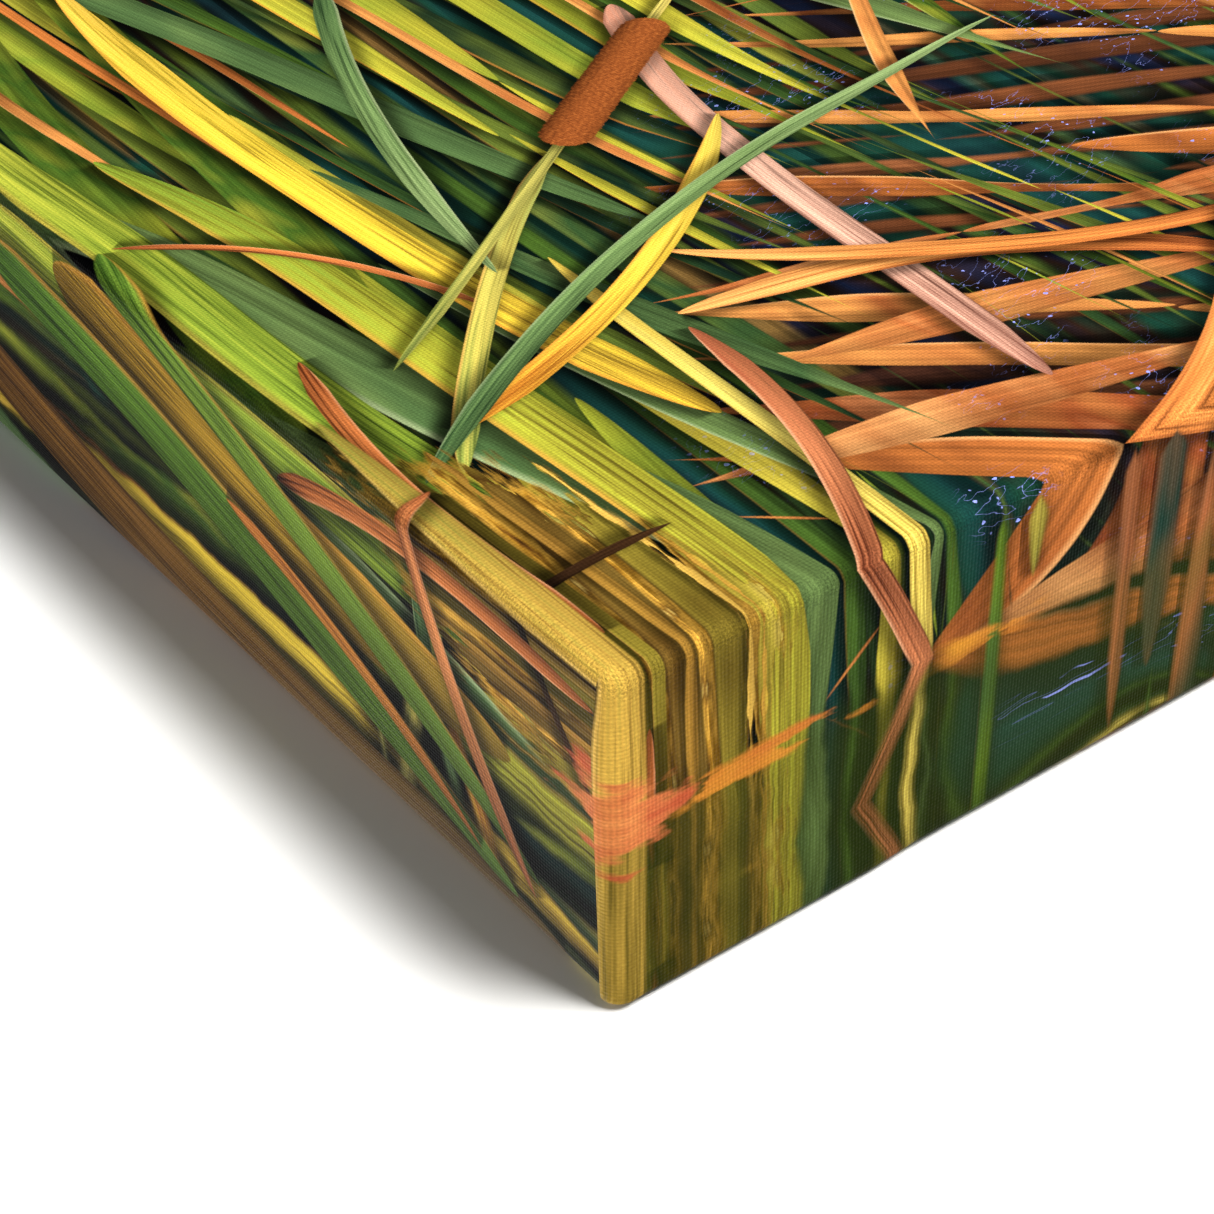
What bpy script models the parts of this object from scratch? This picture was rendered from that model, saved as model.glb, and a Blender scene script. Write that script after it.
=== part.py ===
"""Stretched canvas: a gallery-wrapped cloth on four slotted stretcher bars.

The canvas hangs upright.  +X runs to the viewer's right along the bottom edge, the printed
face looks along -Y and +Z is up.  The origin is the middle of the bottom side face, where the
canvas stands on an easel's ledge.

The four bars are one shape turned through quarter turns.  Each bar has a tongue in the front
layer and a slot in the back layer at its first end, and the reverse at its second end, so
every corner locks together and holds one wedge key in each layer.
"""

import math

import bmesh
import bpy
from mathutils import Vector

MM = 0.001

# Finished size over the cloth.
WIDTH = 406 * MM
HEIGHT = 305 * MM
DEPTH = 38 * MM
GAP = 0.3 * MM

# Cloth.
CLOTH = 0.5 * MM
CORNER_ROUND = 3.0 * MM
FRONT_ROUND = 2.5 * MM
BACK_ROUND = 1.0 * MM
TURN_BACK = 23 * MM
LEAST_ROUND = 0.6 * MM

# Stretcher bars, inside the cloth.
SKIN = CLOTH + GAP
BAR_WIDTH = 40 * MM
BAR_BACK = DEPTH / 2 - SKIN
BAR_FRONT = -BAR_BACK
BEAD_WIDTH = 5.5 * MM
BEAD_SLOPE = 1.5 * MM
BEAD_HEIGHT = 2.5 * MM
FRONT_RELIEF = 5 * MM
EDGE_CHAMFER = 1.0 * MM
TIP_CHAMFER = 2.0 * MM
MITRE_GAP = GAP / math.sqrt(2)
OVERCUT = 5 * MM

# Corner joint: two layers, each with a slot and the tongue that fills it.
SLOT_THICKNESS = 5 * MM
TONGUE_THICKNESS = SLOT_THICKNESS - 2 * GAP
FRONT_LAYER = -4 * MM
BACK_LAYER = 8 * MM
TONGUE_SETBACK = 1 * MM

# Wedge keys.
KEY_THICKNESS = SLOT_THICKNESS - 2 * GAP
KEY_LENGTH = 48 * MM
KEY_TIP = 4 * MM
KEY_BUTT = 14 * MM
KEY_START = 10 * MM
KEY_SLOPE = (KEY_BUTT - KEY_TIP) / KEY_LENGTH
KEY_NIP = 0.8 * MM

# Staples.
STAPLE_CROWN = 10.6 * MM
STAPLE_WIRE = 0.5 * MM
STAPLE_WIDTH = 1.2 * MM
STAPLE_LEG = 7.2 * MM
STAPLE_BEND = 0.9 * MM
STAPLE_POINT = 1.2 * MM
STAPLE_INSET = 14 * MM
STAPLE_SPACING = 50 * MM
CORNER_STAPLE = 17 * MM
STAPLES_LONG = 7
STAPLES_SHORT = 5
LEG_OFFSET = (STAPLE_CROWN - STAPLE_WIRE) / 2

# D-ring hangers.
HANGER_HEIGHT = 228 * MM
HANGER_INSET = 31.5 * MM
RING_WIRE = 1.1 * MM
RING_WIDTH = 16 * MM
RING_REACH = 14 * MM
RING_BEND = 2.2 * MM
WIRE_STEPS = 12
LOOP_BORE = RING_WIRE + GAP
LOOP_WALL = 0.8 * MM
LOOP_OUTER = LOOP_BORE + LOOP_WALL
STRAP_WIDTH = 10 * MM
STRAP_LENGTH = 19 * MM
STRAP_THICKNESS = 2 * LOOP_WALL
STRAP_BACK = BAR_BACK + GAP
RING_AXIS = STRAP_BACK + LOOP_OUTER

# Hanger screws.
SCREW_DROP = 12 * MM
SCREW_SHANK = 1.5 * MM
SCREW_LENGTH = 12 * MM
SCREW_POINT = 3 * MM
SCREW_TIP = 0.2 * MM
SCREW_HEAD = 3.2 * MM
SCREW_HEAD_HEIGHT = 2.0 * MM

# The pan head's side above its seat, as shares of its radius and its height.
SCREW_HEAD_CURVE = ((1.0, 0.0), (1.0, 0.35), (0.92, 0.65), (0.7, 0.875), (0.35, 1.0))

# Cross recess in the screw's head.
RECESS_LENGTH = 3.6 * MM
RECESS_WIDTH = 0.8 * MM
RECESS_DEPTH = 1.1 * MM

ROUND_STEPS = 24

COLOURS = {
    "print": ((0.36, 0.41, 0.13), 0.62, 0.0),
    "pine": ((0.80, 0.62, 0.40), 0.60, 0.0),
    "beech": ((0.72, 0.50, 0.31), 0.55, 0.0),
    "zinc": ((0.78, 0.78, 0.76), 0.32, 1.0),
    "staple_steel": ((0.66, 0.67, 0.68), 0.35, 1.0),
}


# ---------------------------------------------------------------- helpers

def clear_scene():
    for item in list(bpy.data.objects):
        bpy.data.objects.remove(item, do_unlink=True)


def make_materials():
    materials = {}
    for name, (colour, roughness, metallic) in COLOURS.items():
        material = bpy.data.materials.new(name)
        material.use_nodes = True
        shader = material.node_tree.nodes["Principled BSDF"]
        shader.inputs["Base Color"].default_value = (*colour, 1.0)
        shader.inputs["Roughness"].default_value = roughness
        shader.inputs["Metallic"].default_value = metallic
        materials[name] = material
    return materials


def add_object(name, shape, material=None):
    """Turn a bmesh into a named object with outward faces."""
    bmesh.ops.recalc_face_normals(shape, faces=shape.faces)
    mesh = bpy.data.meshes.new(name)
    shape.to_mesh(mesh)
    shape.free()
    if material:
        mesh.materials.append(material)
    item = bpy.data.objects.new(name, mesh)
    bpy.context.collection.objects.link(item)
    return item


def prism(shape, outline, low, high):
    """Add an outline of (x, z) points to the shape, extruded along Y from low to high."""
    ring_low = [shape.verts.new((x, low, z)) for x, z in outline]
    ring_high = [shape.verts.new((x, high, z)) for x, z in outline]
    close_ends(shape, [ring_low, ring_high])


def close_ends(shape, rings):
    """Join successive rings of equal size with quads and cap the first and the last."""
    for ring, following in zip(rings, rings[1:]):
        bridge(shape, ring, following)
    shape.faces.new(rings[0])
    shape.faces.new(rings[-1])


def bridge(shape, ring, following):
    count = len(ring)
    for index in range(count):
        after = (index + 1) % count
        shape.faces.new((ring[index], ring[after], following[after], following[index]))


def cut(target, shape, operation="DIFFERENCE"):
    """Apply a Boolean with a bmesh as its tool, in world space."""
    tool = add_object(target.name + "_tool", shape)
    modifier = target.modifiers.new("cut", "BOOLEAN")
    modifier.operation = operation
    modifier.solver = "EXACT"
    modifier.object = tool
    bpy.context.view_layer.update()
    evaluated = target.evaluated_get(bpy.context.evaluated_depsgraph_get())
    old = target.data
    target.data = bpy.data.meshes.new_from_object(evaluated)
    target.modifiers.clear()
    bpy.data.meshes.remove(old)
    bpy.data.objects.remove(tool, do_unlink=True)


def smooth(item, angle=35):
    item.data.shade_smooth()
    item.data.set_sharp_from_angle(angle=math.radians(angle))


def arc(centre, radius, start, end, steps):
    """Points on an arc, angles in degrees."""
    points = []
    for step in range(steps + 1):
        angle = math.radians(start + (end - start) * step / steps)
        points.append((centre[0] + radius * math.cos(angle), centre[1] + radius * math.sin(angle)))
    return points


def turned(points, angle, centre):
    """Turn (x, z) points by an angle in radians and carry them to a centre."""
    cosine, sine = math.cos(angle), math.sin(angle)
    return [(centre[0] + x * cosine - z * sine, centre[1] + x * sine + z * cosine)
            for x, z in points]


def rectangle(half_x, half_z):
    return [(-half_x, -half_z), (half_x, -half_z), (half_x, half_z), (-half_x, half_z)]


# ---------------------------------------------------------------- stretcher bars

def bar_profile():
    """(z, y) section of a bar: z from its outer face inwards, y from its front to its back."""
    nose = FRONT_ROUND - SKIN
    profile = arc((nose, BAR_FRONT + nose), nose, 180, 270, 5)
    profile += [
        (BEAD_WIDTH, BAR_FRONT),
        (BEAD_WIDTH + BEAD_SLOPE, BAR_FRONT + BEAD_HEIGHT),
        (BAR_WIDTH - EDGE_CHAMFER, BAR_FRONT + FRONT_RELIEF),
        (BAR_WIDTH, BAR_FRONT + FRONT_RELIEF + EDGE_CHAMFER),
        (BAR_WIDTH, BAR_BACK - EDGE_CHAMFER),
        (BAR_WIDTH - EDGE_CHAMFER, BAR_BACK),
        (EDGE_CHAMFER, BAR_BACK),
        (0, BAR_BACK - EDGE_CHAMFER),
    ]
    return profile


def mitre_outline():
    """What a mitred layer loses at a bar's first end, in (x, z)."""
    past = BAR_WIDTH + OVERCUT
    return [(-OVERCUT, -OVERCUT), (MITRE_GAP - OVERCUT, -OVERCUT), (past + MITRE_GAP, past),
            (-OVERCUT, past)]


def slot_outline():
    """What the slot's layer loses: the neighbour's tongue, then the sloping seat of a key."""
    seat = BAR_WIDTH + 2 * GAP + KEY_TIP
    past = BAR_WIDTH + OVERCUT
    low = seat - KEY_SLOPE * (OVERCUT + KEY_START)
    high = seat + KEY_SLOPE * (past - KEY_START)
    return [(-OVERCUT, -OVERCUT), (low, -OVERCUT), (high, past), (-OVERCUT, past)]


def tip_outline():
    past = TIP_CHAMFER + OVERCUT
    return [(-OVERCUT, -OVERCUT), (past, -OVERCUT), (-OVERCUT, past)]


def cut_end(bar, length, first):
    """Cut one end of a bar: mitre, tongue in one layer, slot in the other."""
    tongue, slot = (FRONT_LAYER, BACK_LAYER) if first else (BACK_LAYER, FRONT_LAYER)
    half = TONGUE_THICKNESS / 2
    setback = [(-OVERCUT, -OVERCUT), (TONGUE_SETBACK, -OVERCUT),
               (TONGUE_SETBACK, BAR_WIDTH + OVERCUT), (-OVERCUT, BAR_WIDTH + OVERCUT)]
    cuts = [
        (mitre_outline(), BAR_FRONT - OVERCUT, tongue - half),
        (mitre_outline(), tongue + half, BAR_BACK + OVERCUT),
        (slot_outline(), slot - SLOT_THICKNESS / 2, slot + SLOT_THICKNESS / 2),
        (setback, BAR_FRONT - OVERCUT, BAR_BACK + OVERCUT),
        (tip_outline(), BAR_FRONT - OVERCUT, BAR_BACK + OVERCUT),
    ]
    for outline, low, high in cuts:
        if not first:
            outline = [(length - x, z) for x, z in outline]
        tool = bmesh.new()
        prism(tool, outline, low, high)
        cut(bar, tool)


def make_bar(name, length, corner, quarter_turns, material):
    """A bar from its first corner along its own +X, with its inner edge on its own +Z side."""
    shape = bmesh.new()
    profile = bar_profile()
    rings = [[shape.verts.new((x, y, z)) for z, y in profile] for x in (0, length)]
    close_ends(shape, rings)
    bar = add_object(name, shape, material)
    cut_end(bar, length, first=True)
    cut_end(bar, length, first=False)
    bar.location = corner
    bar.rotation_euler = (0, -quarter_turns * math.pi / 2, 0)
    return bar


def make_bars(materials):
    """The frame, going round anticlockwise from the bottom bar as seen from the front."""
    left, right = SKIN - WIDTH / 2, WIDTH / 2 - SKIN
    low, high = SKIN, HEIGHT - SKIN
    across, upright = right - left, high - low
    places = (
        ("bar_bottom", across, (left, 0, low), 0),
        ("bar_right", upright, (right, 0, low), 1),
        ("bar_top", across, (right, 0, high), 2),
        ("bar_left", upright, (left, 0, high), 3),
    )
    return [(make_bar(name, length, corner, turns, materials["pine"]), length)
            for name, length, corner, turns in places]


# ---------------------------------------------------------------- wedge keys

def make_key(name, material):
    """A wedge with its straight edge on its own X axis, its tip at the origin."""
    half = KEY_THICKNESS / 2
    outline = [
        (KEY_NIP, 0), (KEY_LENGTH, 0), (KEY_LENGTH, KEY_BUTT),
        (0, KEY_TIP), (0, KEY_NIP),
    ]
    shape = bmesh.new()
    prism(shape, outline, -half, half)
    return add_object(name, shape, material)


def make_keys(bars, materials):
    """Two keys along the inner edge of each bar, one in each end's slot."""
    for bar, length in bars:
        side = bar.name.replace("bar_", "")
        first = make_key("key_" + side + "_first", materials["beech"])
        first.parent = bar
        first.location = (KEY_START, FRONT_LAYER, BAR_WIDTH + GAP)
        second = make_key("key_" + side + "_second", materials["beech"])
        second.parent = bar
        second.location = (length - KEY_START, BACK_LAYER, BAR_WIDTH + GAP)
        second.rotation_euler = (0, 0, math.pi)


# ---------------------------------------------------------------- cloth

def rounded_rectangle(inset):
    """(x, z) points of the canvas outline moved inwards, each corner a short arc."""
    radius = max(CORNER_ROUND - inset, LEAST_ROUND)
    reach_x = WIDTH / 2 - inset - radius
    low, high = inset + radius, HEIGHT - inset - radius
    points = arc((reach_x, low), radius, -90, 0, 6)
    points += arc((reach_x, high), radius, 0, 90, 6)
    points += arc((-reach_x, high), radius, 90, 180, 6)
    points += arc((-reach_x, low), radius, 180, 270, 6)
    return points


def cloth_path(offset):
    """(inset, y) steps over one skin of the cloth, from the turned-back hem to the front."""
    back = DEPTH / 2 - offset
    round_back = max(BACK_ROUND - offset, LEAST_ROUND)
    round_front = FRONT_ROUND - offset
    path = [(TURN_BACK, back)]
    path += arc((offset + round_back, back - round_back), round_back, 90, 180, 3)
    path += arc((offset + round_front, round_front - back), round_front, 180, 270, 5)
    return path


def make_canvas(material):
    """A closed tray of cloth: printed face, four sides and a hem turned over the back."""
    shape = bmesh.new()
    skins = []
    for offset in (0, CLOTH):
        rings = [[shape.verts.new((x, y, z)) for x, z in rounded_rectangle(inset)]
                 for inset, y in cloth_path(offset)]
        for ring, following in zip(rings, rings[1:]):
            bridge(shape, ring, following)
        shape.faces.new(rings[-1])
        skins.append(rings)
    bridge(shape, skins[0][0], skins[1][0])
    return add_object("canvas", shape, material)


# ---------------------------------------------------------------- staples

def spread(count, middle):
    """Staple places along an edge, evenly about its middle."""
    return [middle + (index - (count - 1) / 2) * STAPLE_SPACING for index in range(count)]


def staple_places():
    """(name, x, z, angle) of every staple on the back, angle in radians from +X."""
    places = []
    for side, z in (("bottom", STAPLE_INSET), ("top", HEIGHT - STAPLE_INSET)):
        for number, x in enumerate(spread(STAPLES_LONG, 0), 1):
            places.append((f"staple_{side}_{number}", x, z, 0.0))
    for side, x in (("left", STAPLE_INSET - WIDTH / 2), ("right", WIDTH / 2 - STAPLE_INSET)):
        for number, z in enumerate(spread(STAPLES_SHORT, HEIGHT / 2), 1):
            places.append((f"staple_{side}_{number}", x, z, math.pi / 2))
    reach = WIDTH / 2 - CORNER_STAPLE
    low, high = CORNER_STAPLE, HEIGHT - CORNER_STAPLE
    places.append(("staple_corner_bottom_left", -reach, low, -math.pi / 4))
    places.append(("staple_corner_bottom_right", reach, low, math.pi / 4))
    places.append(("staple_corner_top_right", reach, high, -math.pi / 4))
    places.append(("staple_corner_top_left", -reach, high, math.pi / 4))
    return places


def staple_outline():
    """(s, y) outline of a staple: crown on the cloth, legs into the wood, chisel points."""
    half = STAPLE_CROWN / 2
    inner = half - STAPLE_WIRE
    top = DEPTH / 2 + GAP + STAPLE_WIRE
    under = top - STAPLE_WIRE
    foot = top - STAPLE_LEG
    point = foot + STAPLE_POINT
    outline = [(-half, point), (-inner, foot)]
    outline += [(-inner, under), (inner, under), (inner, foot), (half, point)]
    outline += arc((half - STAPLE_BEND, top - STAPLE_BEND), STAPLE_BEND, 0, 90, 3)
    outline += arc((STAPLE_BEND - half, top - STAPLE_BEND), STAPLE_BEND, 90, 180, 3)
    return outline


def make_staple(name, x, z, angle, material):
    half = STAPLE_WIDTH / 2
    outline = staple_outline()
    shape = bmesh.new()
    rings = [[shape.verts.new((s, y, side)) for s, y in outline] for side in (-half, half)]
    close_ends(shape, rings)
    staple = add_object(name, shape, material)
    staple.location = (x, 0, z)
    staple.rotation_euler = (0, -angle, 0)
    return staple


def leg_holes():
    """Clearance for every staple leg, through the hem and into the bars."""
    foot = DEPTH / 2 + STAPLE_WIRE - STAPLE_LEG
    hole = rectangle(STAPLE_WIRE / 2 + GAP, STAPLE_WIDTH / 2 + GAP)
    shape = bmesh.new()
    for _, x, z, angle in staple_places():
        for side in (-1, 1):
            centre = turned([(side * LEG_OFFSET, 0)], angle, (x, z))[0]
            prism(shape, turned(hole, angle, centre), foot, DEPTH / 2 + MM)
    return shape


# ---------------------------------------------------------------- hangers

def disc(radius, centre, steps=ROUND_STEPS):
    return arc(centre, radius, 0, 360 * (steps - 1) / steps, steps - 1)


def make_strap(name, x, material):
    """A folded steel strap: a double tongue under the screw and a loop round the ring."""
    half = STRAP_WIDTH / 2
    end = HANGER_HEIGHT - STRAP_LENGTH + half
    outline = arc((x, end), half, 180, 360, 12)
    outline += [(x + half, HANGER_HEIGHT), (x - half, HANGER_HEIGHT)]
    shape = bmesh.new()
    prism(shape, outline, STRAP_BACK, STRAP_BACK + STRAP_THICKNESS)
    strap = add_object(name, shape, material)
    cut(strap, barrel(x, half, LOOP_OUTER), "UNION")
    cut(strap, barrel(x, half + MM, LOOP_BORE))
    hole = bmesh.new()
    prism(hole, disc(SCREW_SHANK + GAP, (x, HANGER_HEIGHT - SCREW_DROP)), BAR_BACK, DEPTH)
    cut(strap, hole)
    smooth(strap)
    return strap


def barrel(x, half_length, radius):
    """A round bar along X on the ring's axis."""
    shape = bmesh.new()
    section = disc(radius, (RING_AXIS, HANGER_HEIGHT))
    rings = [[shape.verts.new((x + side, y, z)) for y, z in section]
             for side in (-half_length, half_length)]
    close_ends(shape, rings)
    return shape


def ring_path():
    """Closed D-shaped path in the ring's own (x, z): a straight side on the axis, then a bow."""
    half = RING_WIDTH / 2
    path = arc((half - RING_BEND, RING_BEND), RING_BEND, -90, 0, 5)
    path += arc((0, RING_REACH - half), half, 0, 180, 20)
    path += arc((RING_BEND - half, RING_BEND), RING_BEND, 180, 270, 5)
    path += [(0, 0)]
    return path


def make_ring(name, x, material):
    """Round wire swept along the D, hinged on its straight side."""
    shape = bmesh.new()
    path = ring_path()
    count = len(path)
    rings = []
    for index, (px, pz) in enumerate(path):
        before, after = path[index - 1], path[(index + 1) % count]
        along = Vector((after[0] - before[0], 0, after[1] - before[1])).normalized()
        outwards = along.cross(Vector((0, 1, 0)))
        ring = []
        for step in range(WIRE_STEPS):
            angle = 2 * math.pi * step / WIRE_STEPS
            offset = outwards * (RING_WIRE * math.cos(angle))
            offset.y += RING_WIRE * math.sin(angle)
            ring.append(shape.verts.new(Vector((px, 0, pz)) + offset))
        rings.append(ring)
    for index in range(count):
        bridge(shape, rings[index], rings[(index + 1) % count])
    ring = add_object(name, shape, material)
    ring.location = (x, RING_AXIS, HANGER_HEIGHT)
    smooth(ring, 60)
    return ring


def screw_profile():
    """(radius, y) of a pan-head screw from its point to the crown of its head."""
    seat = STRAP_BACK + STRAP_THICKNESS + GAP
    point = seat - SCREW_LENGTH
    shank = [(SCREW_TIP, point), (SCREW_SHANK, point + SCREW_POINT), (SCREW_SHANK, seat)]
    head = [(SCREW_HEAD * wide, seat + SCREW_HEAD_HEIGHT * high)
            for wide, high in SCREW_HEAD_CURVE]
    return shank + head


def make_screw(name, x, material):
    z = HANGER_HEIGHT - SCREW_DROP
    shape = bmesh.new()
    rings = [[shape.verts.new((px, y, pz)) for px, pz in disc(radius, (x, z))]
             for radius, y in screw_profile()]
    close_ends(shape, rings)
    screw = add_object(name, shape, material)
    head = screw_profile()[-1][1]
    long_half, short_half = RECESS_LENGTH / 2, RECESS_WIDTH / 2
    for half_x, half_z in ((long_half, short_half), (short_half, long_half)):
        recess = bmesh.new()
        prism(recess, turned(rectangle(half_x, half_z), 0, (x, z)), head - RECESS_DEPTH, head + MM)
        cut(screw, recess)
    smooth(screw)
    return screw


def pilot_holes():
    shape = bmesh.new()
    for side in (-1, 1):
        x = side * (WIDTH / 2 - HANGER_INSET)
        outline = disc(SCREW_SHANK + GAP, (x, HANGER_HEIGHT - SCREW_DROP))
        prism(shape, outline, BAR_BACK - SCREW_LENGTH, BAR_BACK + MM)
    return shape


def make_hangers(materials):
    for side, x in (("left", HANGER_INSET - WIDTH / 2), ("right", WIDTH / 2 - HANGER_INSET)):
        make_strap("hanger_strap_" + side, x, materials["zinc"])
        make_ring("hanger_ring_" + side, x, materials["zinc"])
        make_screw("hanger_screw_" + side, x, materials["zinc"])


# ---------------------------------------------------------------- assembly

def build():
    clear_scene()
    materials = make_materials()
    bars = make_bars(materials)
    for bar, _ in bars:
        cut(bar, leg_holes())
        cut(bar, pilot_holes())
    make_keys(bars, materials)
    canvas = make_canvas(materials["print"])
    cut(canvas, leg_holes())
    for name, x, z, angle in staple_places():
        make_staple(name, x, z, angle, materials["staple_steel"])
    make_hangers(materials)


build()
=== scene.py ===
"""Looks of the stretched canvas: folded printed cloth, pine stretcher, keys, staples and hangers.

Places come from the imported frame.  Lengths are in metres, except inside the print, wood and
metal patterns, which work in millimetres.
"""

import math
import random
from functools import partialmethod

import bmesh
import bpy
from mathutils import Matrix, Vector, noise


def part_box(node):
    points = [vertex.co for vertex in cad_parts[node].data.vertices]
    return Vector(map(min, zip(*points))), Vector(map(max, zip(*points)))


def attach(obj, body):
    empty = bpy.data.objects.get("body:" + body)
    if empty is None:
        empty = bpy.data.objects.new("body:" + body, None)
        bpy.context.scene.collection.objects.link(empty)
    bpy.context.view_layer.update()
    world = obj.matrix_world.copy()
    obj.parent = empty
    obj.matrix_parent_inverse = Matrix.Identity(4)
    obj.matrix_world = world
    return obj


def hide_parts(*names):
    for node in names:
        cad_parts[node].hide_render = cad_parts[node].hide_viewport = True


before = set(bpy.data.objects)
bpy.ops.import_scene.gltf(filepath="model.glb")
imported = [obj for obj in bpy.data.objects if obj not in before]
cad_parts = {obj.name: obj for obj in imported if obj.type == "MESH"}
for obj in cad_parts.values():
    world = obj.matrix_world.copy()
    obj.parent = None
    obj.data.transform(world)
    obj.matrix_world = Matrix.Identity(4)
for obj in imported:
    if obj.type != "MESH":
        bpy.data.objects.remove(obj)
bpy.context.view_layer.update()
MM = 0.001

# The canvas, from its CAD node.
LOW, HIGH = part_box("canvas")
WIDTH = HIGH.x - LOW.x
HEIGHT = HIGH.z - LOW.z
FRONT = LOW.y
BACK = HIGH.y
BAR_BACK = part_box("bar_bottom")[1].y

# Cloth: its thickness, the rounding of its edges, the hem on the back, the slack that lifts the
# layers over a fold, the pitch of its threads and the sag of the face.
CLOTH = 0.5 * MM
CORNER_ROUND = 1.9 * MM
FRONT_ROUND = 1.4 * MM
BACK_ROUND = 1.2 * MM
LEAST_ROUND = 0.6 * MM
HEM = 23 * MM
HEM_LIFT = 0.22 * MM
PRINTED_HEM = 11 * MM
TUCK = 0.35 * MM
THREAD = 0.42 * MM
WEAVE_TURN = math.tau * MM / THREAD
SAG = 0.35 * MM

# The picture turns back on itself at every edge, and a second time this far down the long walls.
# It slides along the walls by these shares of the distance from the edge.
SECOND_FOLD = 14.0
NO_FOLD = 999.0
SIDE_SHEAR = 0.9
LONG_SHEAR = 1.1


# ================================================================ node trees

def rgb(code):
    """Linear colour of a six-digit sRGB code."""
    channels = [int(code[index:index + 2], 16) / 255 for index in (0, 2, 4)]
    return tuple(c / 12.92 if c <= 0.04045 else ((c + 0.055) / 1.055) ** 2.4 for c in channels)


class Value:
    """A number, vector or colour in a node tree, with ordinary arithmetic on numbers."""

    def __init__(self, graph, socket):
        self.graph = graph
        self.socket = socket

    def __add__(self, other):
        return self.graph.math("ADD", self, other)

    def __sub__(self, other):
        return self.graph.math("SUBTRACT", self, other)

    def __mul__(self, other):
        return self.graph.math("MULTIPLY", self, other)

    def __truediv__(self, other):
        return self.graph.math("DIVIDE", self, other)

    def __radd__(self, other):
        return self.graph.math("ADD", other, self)

    def __rsub__(self, other):
        return self.graph.math("SUBTRACT", other, self)

    def __rmul__(self, other):
        return self.graph.math("MULTIPLY", other, self)


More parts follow.
